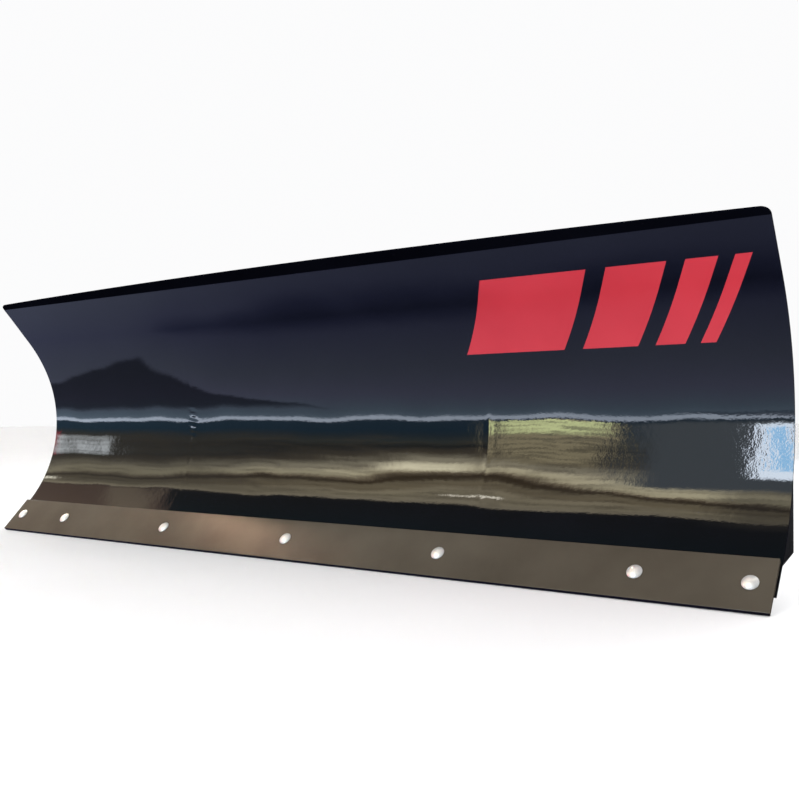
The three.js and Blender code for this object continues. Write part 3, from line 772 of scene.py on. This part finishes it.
def spring_eye(node):
    """A closed ring on a threaded shank, which reaches a little into the ring's wire."""
    thread, overlap = 34 * MM, 3 * MM
    tip, end = along_axis(node, Y_AXIS)
    low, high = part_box(node)
    wire = (high.x - low.x) / 2
    ring = (high.z - low.z) / 2 - wire
    middle = centre(node)
    ring_centre = Vector((middle.x, end - wire - ring, middle.z))
    vertices, rings = [], []
    around, across = 72, 24
    for i in range(around):
        angle = 2 * math.pi * i / around
        outward = Vector((0, math.cos(angle), math.sin(angle)))
        rings.append([])
        for j in range(across):
            turn = 2 * math.pi * j / across
            rings[-1].append(len(vertices))
            arm = outward * (wire * math.cos(turn)) + Vector((wire * math.sin(turn), 0, 0))
            vertices.append(ring_centre + outward * ring + arm)
    rings.append(rings[0])
    loop = (vertices, ring_faces(rings, across))
    shank = threaded(tip, thread, end - 2 * ring - 2 * wire + overlap, on_axis(node, Y_AXIS))
    mesh = smooth(combined([loop, shank], node), 40)
    add_piece(node + "_bolt", mesh, node)


def clip(node):
    """The hairpin clip's wire, rounded by subdivision."""
    piece = add_piece(node + "_wire", cleaned(node), node)
    piece.modifiers.new("round", "SUBSURF").levels = 1
    piece.data.shade_smooth()
    applied(piece)


for fastener in sorted(NODES):
    outward = X_AXIS if "right" in fastener else -X_AXIS
    if fastener.startswith("wear_bolt"):
        carriage_bolt(fastener)
    elif fastener.startswith("wear_nut"):
        nut(fastener, -TOE_NORMAL, flange=10 * MM)
    elif fastener.startswith("skid_bolt"):
        hex_bolt(fastener, outward)
    elif fastener.startswith("skid_nut"):
        nut(fastener, outward)
    elif fastener.startswith("skid_washer"):
        washer(fastener, outward)
    elif fastener.startswith("spring_nut"):
        nut(fastener, Y_AXIS if "outer" in fastener else -Y_AXIS)
    elif fastener.startswith("spring_eye"):
        spring_eye(fastener)
    elif fastener.startswith("pivot_clip"):
        clip(fastener)

# ---- weld beads ------------------------------------------------------------------------------

BEAD = 2.7 * MM
BEAD_RIPPLE = 2.4 * MM
BEAD_STEP = 0.4 * MM
# The CAD leaves this gap between pieces that are welded together.
WELD_GAP = 0.3 * MM
# The ribs' stitches: how long each run is, and how far to the next.
STITCH_RUN, STITCH_SPACE = 38 * MM, 34 * MM


def bead(points, outward, sideways, radius=BEAD):
    """One run of weld along points: rippled, with tapered ends. Its section lies in two directions."""
    across = 10
    length = sum((b - a).length for a, b in zip(points, points[1:]))
    vertices, rings, gone = [], [], 0.0
    for k, point in enumerate(points):
        if k:
            gone += (point - points[k - 1]).length
        end = min(gone, length - gone)
        taper = math.sqrt(max(0.02, min(1.0, end / (1.6 * radius))))
        swell = 1 + 0.09 * math.sin(2 * math.pi * gone / BEAD_RIPPLE) + 0.05 * math.sin(gone / (9 * MM))
        rings.append([])
        for j in range(across):
            turn = 2 * math.pi * j / across
            reach = radius * taper * swell
            rings[-1].append(len(vertices))
            arm = outward[k] * (reach * math.cos(turn)) + sideways * (reach * math.sin(turn))
            vertices.append(point + arm)
    faces = ring_faces(rings, across)
    faces.append(list(reversed(rings[0])))
    faces.append(rings[-1])
    return vertices, faces


def stitches(low, high, run, space):
    """Start and end of each weld run between low and high, evenly spread, with one at each end."""
    count = max(1, round((high - low + space) / (run + space)))
    pitch = (high - low - run) / max(1, count - 1)
    return [(low + i * pitch, low + i * pitch + run) for i in range(count)]


def rib_welds(node):
    """Stitch welds where a rib meets the back of the sheet, on both sides."""
    low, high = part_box(node)
    start = S_TOE + 6 * MM
    end = s_at_height(high.z) - 6 * MM
    parts = []
    for x, side in ((low.x, -1), (high.x, 1)):
        if abs(x) > HALF_WIDTH - 4 * MM:
            continue
        for first, last in stitches(start, end, STITCH_RUN, STITCH_SPACE):
            steps = round((last - first) / BEAD_STEP)
            points, outward = [], []
            for k in range(steps + 1):
                s = first + (last - first) * k / steps
                y, z = sheet_point(s, SHEET + WELD_GAP)
                y2, z2 = sheet_point(s, SHEET + WELD_GAP + MM)
                points.append(Vector((x + side * WELD_GAP, y, z)))
                outward.append(Vector((0, y2 - y, z2 - z)).normalized())
            parts.append(bead(points, outward, X_AXIS))
    if parts:
        new_object(node + "_weld", smooth(combined(parts, node), 60), "blade", "frame_paint")


for rib in sorted(n for n in NODES if "_rib" in n or n.startswith("skid_bracket")):
    rib_welds(rib)


def straight_welds(name, body, runs, outward, sideways, radius):
    """Beads along straight runs, each given by its first and last point, as one piece."""
    parts = []
    for first, last in runs:
        steps = max(2, round((last - first).length / BEAD_STEP))
        points = [first.lerp(last, k / steps) for k in range(steps + 1)]
        parts.append(bead(points, [outward] * len(points), sideways, radius))
    new_object(name, smooth(combined(parts, name), 60), body, "frame_paint")


def rail_welds():
    """Upright beads where the ribs' rear edges meet the spring rail."""
    low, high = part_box("spring_rail")
    inset = 4 * MM
    runs = []
    for rib_node in sorted(n for n in NODES if n.startswith(("stiffener_rib", "pivot_rib"))):
        rib_low, rib_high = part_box(rib_node)
        for x in (rib_low.x, rib_high.x):
            runs.append((Vector((x, low.y, low.z + inset)), Vector((x, low.y, high.z - inset))))
    straight_welds("spring_rail_weld", "blade", runs, Y_AXIS, X_AXIS, 2.2 * MM)


def strip_welds():
    """Stitches along the top edge of the backing strip."""
    up = Vector((0, math.sin(TOE_LEAN), math.cos(TOE_LEAN)))
    corners = [v.co for v in NODES["backing_strip"].data.vertices]
    top = max(c.dot(up) for c in corners)
    front = max(c.dot(TOE_NORMAL) for c in corners)
    edge = up * top + TOE_NORMAL * front
    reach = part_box("backing_strip")[1].x - 10 * MM
    plate_xs = [centre(n).x for n in NODES if "_rib" in n or "skid_bracket" in n]
    clearance = 26 * MM
    runs = []
    for first, last in stitches(-reach, reach, 36 * MM, 88 * MM):
        if all(abs((first + last) / 2 - x) > clearance for x in plate_xs):
            runs.append((edge + X_AXIS * first, edge + X_AXIS * last))
    straight_welds("backing_strip_weld", "blade", runs, up, TOE_NORMAL, 2.4 * MM)


def skid_welds(side):
    """Beads along both faces of the upright where it stands on the runner."""
    low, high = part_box("skid_upright_" + side)
    runner_top = low.z - WELD_GAP
    runs = []
    for x in (low.x, high.x):
        runs.append((Vector((x, low.y + 2 * MM, runner_top)), Vector((x, high.y - 2 * MM, runner_top))))
    straight_welds("skid_weld_" + side, "skid_" + side, runs, Vector((0, 0, 1)), X_AXIS, 2.6 * MM)


rail_welds()
strip_welds()
skid_welds("left")
skid_welds("right")

# ---- floor, world and lights -----------------------------------------------------------------

# What the gloss reflects is a studio of its own, shaped for the photograph's view. These two tables and the
# cards follow the reflections in the photograph: a scratch program turned its pixels into light by
# direction, and its numbers were rounded and partly changed by hand.

# What gloss sees of the floor: distance in front of the frame's origin in metres, and the light there.
FLOOR_GLOW = (
    (0.16, (0.05, 0.06, 0.14)),
    (0.20, (0.14, 0.16, 0.34)),
    (0.24, (0.28, 0.31, 0.55)),
    (0.45, (0.46, 0.52, 0.74)),
    (0.80, (0.66, 0.71, 1.07)),
    (1.80, (0.80, 1.10, 1.45)),
    (3.10, (1.10, 1.50, 1.95)),
    (4.00, (4.9, 5.6, 6.7)),
    (8.0, (4.9, 5.6, 6.7)),
    (12.0, (0.25, 0.42, 0.60)),
    (30.0, (0.25, 0.42, 0.60)),
)
# What gloss sees above the horizon: degrees round the blade's length from the snow side, and the
# light. The stops from 82 degrees up were chosen one by one.
SURROUND_GLOW = (
    (-10, (0.25, 0.42, 0.60)),
    (5, (0.16, 0.34, 0.50)),
    (9, (0.24, 0.36, 0.42)),
    (13, (0.42, 0.50, 0.44)),
    (16, (0.22, 0.24, 0.20)),
    (20, (0.9, 0.76, 0.52)),
    (24, (4.2, 3.8, 2.7)),
    (26, (4.6, 4.1, 2.9)),
    (29, (8.0, 7.2, 4.9)),
    (32, (7.6, 6.8, 4.5)),
    (34.5, (2.4, 1.9, 1.2)),
    (36, (0.6, 0.42, 0.2)),
    (37.2, (0.6, 0.42, 0.2)),
    (39.5, (2.4, 2.0, 1.25)),
    (43, (2.2, 1.8, 1.1)),
    (46, (3.5, 3.0, 2.0)),
    (50, (3.0, 2.6, 1.7)),
    (55.8, (3.1, 2.7, 1.9)),
    (56.8, (0.12, 0.12, 0.10)),
    (79, (0.08, 0.12, 0.12)),
    (82, (5.0, 4.4, 3.3)),
    (108, (4.6, 4.1, 3.2)),
    (118, (1.1, 1.1, 1.1)),
    (134, (1.6, 1.6, 1.65)),
    (140, (5.6, 5.6, 5.7)),
    (152, (5.0, 5.0, 5.1)),
    (158, (1.3, 1.3, 1.35)),
    (180, (0.7, 0.7, 0.75)),
)
BRIGHTEST = 8.0
# The floor's ramp starts this far in front of the frame's origin, in metres.
NEAREST = 0.12


def glow_ramp(add, value, stops, low, high):
    """A ramp through (place, light) stops from low to high, in shares of BRIGHTEST."""
    span = add("ShaderNodeMapRange", {"Value": value, "From Min": low, "From Max": high}).outputs["Result"]
    shares = []
    for place, light in stops:
        shares.append(((place - low) / (high - low), [channel / BRIGHTEST for channel in light]))
    return ramp_node(add, span, shares)


class Maths:
    """Short ways to do sums with shader nodes."""

    def __init__(self, add):
        self.add = add

    def do(self, operation, first, second=0.0, third=0.0):
        return self.add("ShaderNodeMath", {0: first, 1: second, 2: third}, operation=operation).outputs[0]

    def step(self, value, low, high):
        """0 at low and beyond it, 1 at high and beyond it, whichever is the larger."""
        sockets = {"Value": value, "From Min": low, "From Max": high}
        return self.add("ShaderNodeMapRange", sockets, interpolation_type="SMOOTHSTEP").outputs["Result"]

    def within(self, value, low, high, soft):
        """1 between low and high, falling to 0 over `soft` on each side."""
        rising = self.step(value, low - soft, low + soft)
        return self.do("SUBTRACT", rising, self.step(value, high - soft, high + soft))

    def mix(self, factor, first, second):
        return self.add("ShaderNodeMix", {0: factor, 6: first, 7: second}, data_type="RGBA").outputs[2]


def floor():
    """A wide pale floor. To glossy rays alone it glows, a painted reflection: dark close by as a painted
    shadow of the blade, and bright in a line far off.
    """
    shape = bmesh.new()
    bmesh.ops.create_grid(shape, x_segments=8, y_segments=8, size=30)
    mesh = bpy.data.meshes.new("floor")
    shape.to_mesh(mesh)
    shape.free()
    ground = bpy.data.objects.new("floor", mesh)
    bpy.context.scene.collection.objects.link(ground)
    ground.location.z = -0.2 * MM

    finish = Finish("floor_pale", Roughness=0.7)
    finish.shader.inputs["Specular IOR Level"].default_value = 0.1
    pale = finish.colours(finish.noise(3, 3), (0.3, (0.88, 0.88, 0.885)), (0.7, (0.9, 0.9, 0.905)))
    finish.set("Base Color", pale)
    sums = Maths(finish.add)
    place = finish.add("ShaderNodeSeparateXYZ", {0: finish.place}).outputs
    ahead = sums.do("MULTIPLY", place["Y"], -1.0)
    away = sums.do("MAXIMUM", ahead, 0.13)

    # The painted shadow near the blade narrows towards the left end.
    narrower = sums.do("MULTIPLY", sums.step(place["X"], -0.40, -0.75), 0.03)
    seen = sums.do("ADD", away, narrower)
    seen = sums.do("ADD", seen, sums.do("MULTIPLY", sums.step(place["X"], -0.74, -1.0), 0.06))
    low, high = math.log10(NEAREST), math.log10(FLOOR_GLOW[-1][0])
    stops = [(math.log10(distance), light) for distance, light in FLOOR_GLOW]
    lit = glow_ramp(finish.add, sums.do("LOGARITHM", seen, 10), stops, low, high)

    # The floor's painted glow holds a dark patch past the blade's left end.
    beyond = sums.do("SUBTRACT", -0.96, place["X"])
    side = sums.step(sums.do("SUBTRACT", beyond, sums.do("MULTIPLY", away, 0.12)), -0.02, 0.03)
    near = sums.step(sums.do("SUBTRACT", away, sums.do("MULTIPLY", beyond, 0.27)), 0.265, 0.29)
    left_dark_patch = sums.do("MULTIPLY", sums.do("MULTIPLY", side, near), sums.step(away, 1.5, 1.0))
    lit = sums.mix(sums.do("MULTIPLY", left_dark_patch, 0.72), lit, (0.0, 0.0, 0.0, 1))

    # The bright line stops short on the right, and behind the blade the floor's glow is grey, darker close to
    # the blade.
    line_end = sums.do("MULTIPLY", sums.step(place["X"], -0.46, -0.30), sums.step(away, 2.4, 3.2))
    lit = sums.mix(sums.do("MULTIPLY", line_end, 0.85), lit, (0.05, 0.07, 0.10, 1))
    behind = finish.colours(place["Y"], (0.05, (0.008, 0.008, 0.009)), (0.9, (0.09, 0.09, 0.095)))
    lit = sums.mix(sums.step(ahead, 0.09, 0.04), lit, behind)

    # Past the blade's right end it is nearly black.
    past_right = sums.do("SUBTRACT", place["X"], sums.do("MULTIPLY", sums.do("ABSOLUTE", ahead), 0.1))
    lit = sums.mix(sums.step(past_right, 0.70, 0.76), lit, (0.0015, 0.0015, 0.002, 1))
    glow = finish.add("ShaderNodeEmission", {"Color": lit, "Strength": BRIGHTEST}).outputs[0]
    glossy = finish.add("ShaderNodeLightPath").outputs["Is Glossy Ray"]
    mixed = finish.add("ShaderNodeMixShader", {0: glossy, 1: finish.shader.outputs[0], 2: glow})
    finish.tree.links.new(mixed.outputs[0], finish.tree.nodes["Material Output"].inputs["Surface"])
    mesh.materials.append(finish.material)


def surround():
    """Even pale light for the scene, and a banded studio for what the gloss reflects."""
    world = bpy.data.worlds.new("studio")
    bpy.context.scene.world = world
    world.use_nodes = True
    tree = world.node_tree
    tree.nodes.clear()

    def add(kind, sockets=None, **settings):
        return add_node(tree, kind, sockets, **settings)

    sums = Maths(add)
    ray = add("ShaderNodeTexCoord").outputs["Generated"]
    x, y, z = add("ShaderNodeSeparateXYZ", {0: ray}).outputs
    rise = sums.do("ARCTAN2", z, sums.do("MULTIPLY", y, -1.0))
    degrees = sums.do("MULTIPLY", rise, 180 / math.pi)

    # The bright beam overhead runs askew and a little wavy: it stands higher to both sides of x = -0.53.
    aside = sums.do("MULTIPLY", sums.do("ABSOLUTE", sums.do("ADD", x, 0.53)), 44.0)
    sway = add("ShaderNodeTexNoise", {"Vector": ray, "Scale": 7.0, "Detail": 3.0}).outputs["Fac"]
    askew = sums.do("ADD", aside, sums.do("MULTIPLY", sums.do("SUBTRACT", sway, 0.5), 11.0))
    askew = sums.do("MULTIPLY", askew, sums.within(degrees, 20, 52, 6))
    banded = glow_ramp(add, sums.do("SUBTRACT", degrees, askew), SURROUND_GLOW, -10, 180)

    # Fine streaks darken it in places.
    fine = add("ShaderNodeMapping", {"Vector": ray, "Scale": (6, 40, 40)}).outputs["Vector"]
    fine = add("ShaderNodeTexNoise", {"Vector": fine, "Scale": 1.0, "Detail": 4.0}).outputs["Fac"]
    shade = sums.do("MULTIPLY", sums.step(fine, 0.42, 0.68), sums.within(degrees, 10, 56, 3))
    banded = sums.mix(sums.do("MULTIPLY", shade, 0.5), banded, (0.1, 0.08, 0.05, 1))

    # It is dimmer to the left and to the right, and the ceiling's dark panel stops on the left.
    dim = sums.do("MULTIPLY", sums.step(x, -0.58, -0.80), sums.within(degrees, 8, 56, 4))
    banded = sums.mix(sums.do("MULTIPLY", dim, 0.78), banded, (0.05, 0.045, 0.035, 1))
    dim = sums.do("MULTIPLY", sums.step(x, -0.31, -0.25), sums.within(degrees, 38, 60, 2))
    banded = sums.mix(sums.do("MULTIPLY", dim, 0.55), banded, (0.05, 0.045, 0.035, 1))
    upright = sums.do("MULTIPLY_ADD", degrees, -0.0005, sums.do("ADD", x, 0.0355))
    panel_end = sums.do("MULTIPLY", sums.within(degrees, 57, 80, 1), sums.step(upright, -0.764, -0.770))
    banded = sums.mix(panel_end, banded, (0.085, 0.06, 0.045, 1))

    # The ceiling above the panel fades towards both ends.
    ends = sums.do("MAXIMUM", sums.step(x, -0.55, -0.15), sums.step(x, -0.70, -0.75))
    ends = sums.do("MULTIPLY", ends, sums.within(degrees, 81, 112, 3))
    banded = sums.mix(sums.do("MULTIPLY", ends, 0.95), banded, (0.16, 0.14, 0.11, 1))

    # Some cards are mottled.
    mottle = add("ShaderNodeMapping", {"Vector": ray, "Scale": (14, 60, 60)}).outputs["Vector"]
    mottle = add("ShaderNodeTexNoise", {"Vector": mottle, "Scale": 1.0, "Detail": 3.0}).outputs["Fac"]
    mottle = sums.step(mottle, 0.64, 0.40)

    def card(x_low, x_high, low, high, light, soft=0.006, soft_degrees=1.0, mottled=0.0):
        """A lit card, given by its sides in x and its bottom and top in degrees."""
        across = sums.within(x, x_low, x_high, soft)
        shape = sums.do("MULTIPLY", across, sums.within(degrees, low, high, soft_degrees))
        if mottled:
            shape = sums.do("MULTIPLY", shape, sums.do("MULTIPLY_ADD", mottle, mottled, 1 - mottled))
        return sums.mix(shape, banded, (*(channel / BRIGHTEST for channel in light), 1))

    # A grey wall on the right.
    banded = card(-0.36, 0.2, 0, 38.5, (0.95, 1.1, 1.2), 0.02, 1.5)
    # A warm door, with a green patch and an orange line at its foot.
    banded = card(-0.495, -0.375, 0, 27, (4.2, 3.6, 2.2), 0.012, 3, mottled=0.6)
    banded = card(-0.485, -0.39, -4, 8, (11, 12, 6), 0.012, 1.5, mottled=0.7)
    banded = card(-0.46, -0.40, -2.5, -0.5, (13, 9, 6.5), 0.012, 0.7)
    # A red edge and a small lamp, past the left end.
    banded = card(-1.0, -0.832, 9, 30, (4.0, 0.4, 0.6), 0.002)
    banded = card(-1.0, -0.838, 51, 53, (9, 8.5, 7), 0.006, 0.6)
    # Two narrow windows near the left end.
    banded = card(-0.83, -0.82, 12, 28, (6.0, 6.4, 6.6), 0.002, 1.5, mottled=0.5)
    banded = card(-0.815, -0.805, 12, 28, (6.0, 6.4, 6.6), 0.003, 1.5, mottled=0.5)
    # The beam's brightest spot.
    banded = card(-0.59, -0.53, 27.5, 33, (13, 12, 8.5), 0.025, 1.5, mottled=0.3)
    # A dim strip past the dark panel's left end.
    banded = card(-0.800, -0.776, 57.5, 80, (1.15, 0.92, 0.66), 0.004)
    # A thin tube lamp.
    banded = card(-0.535, -0.485, 49.7, 50.7, (14, 13, 11), 0.01, 0.3)
    # A white window with a blue pane, near the right end.
    banded = card(-0.238, -0.19, 1.5, 31.5, (15, 17, 19.5), 0.004)
    banded = card(-0.222, -0.203, 3, 27, (5.5, 11, 17.0), 0.002)
    # A small strong lamp above, for the bright spot on the wear bar.
    banded = card(-0.742, -0.724, 82, 105, (420, 270, 180), 0.008, 2)

    # Little light comes along the blade from its right end.
    right = sums.do("MULTIPLY", sums.step(x, 0.06, 0.14), sums.step(degrees, 140, 160))
    right = sums.do("MAXIMUM", right, sums.step(x, 0.2, 0.5))
    banded = sums.mix(sums.do("MULTIPLY", right, 0.95), banded, (0.004, 0.004, 0.005, 1))

    path = add("ShaderNodeLightPath")
    plain = sums.mix(path.outputs["Is Camera Ray"], (0.86, 0.86, 0.865, 1), (0.97, 0.97, 0.975, 1))
    plain_light = add("ShaderNodeBackground", {"Color": plain}).outputs[0]
    gloss_light = add("ShaderNodeBackground", {"Color": banded, "Strength": BRIGHTEST}).outputs[0]
    both = add("ShaderNodeMixShader", {0: path.outputs["Is Glossy Ray"], 1: plain_light, 2: gloss_light})
    add("ShaderNodeOutputWorld", {"Surface": both.outputs[0]})


def soft_light(name, place, energy, size):
    """A square soft light aimed at the middle of the blade, kept out of its gloss."""
    lamp = bpy.data.lights.new(name, "AREA")
    lamp.energy, lamp.size = energy, size
    light = bpy.data.objects.new(name, lamp)
    bpy.context.scene.collection.objects.link(light)
    target = Vector((0, 0, cad_box[1][2] / 2))
    light.matrix_world = aim(place - target, place)
    light.visible_glossy = False


floor()
surround()
soft_light("key", Vector((-0.2, -2.4, 2.6)), 45, 2.2)
soft_light("fill", Vector((2.4, -0.6, 1.6)), 18, 2.0)
soft_light("rear", Vector((0.6, 2.6, 2.0)), 60, 2.2)

bpy.context.scene.view_settings.view_transform = "Standard"
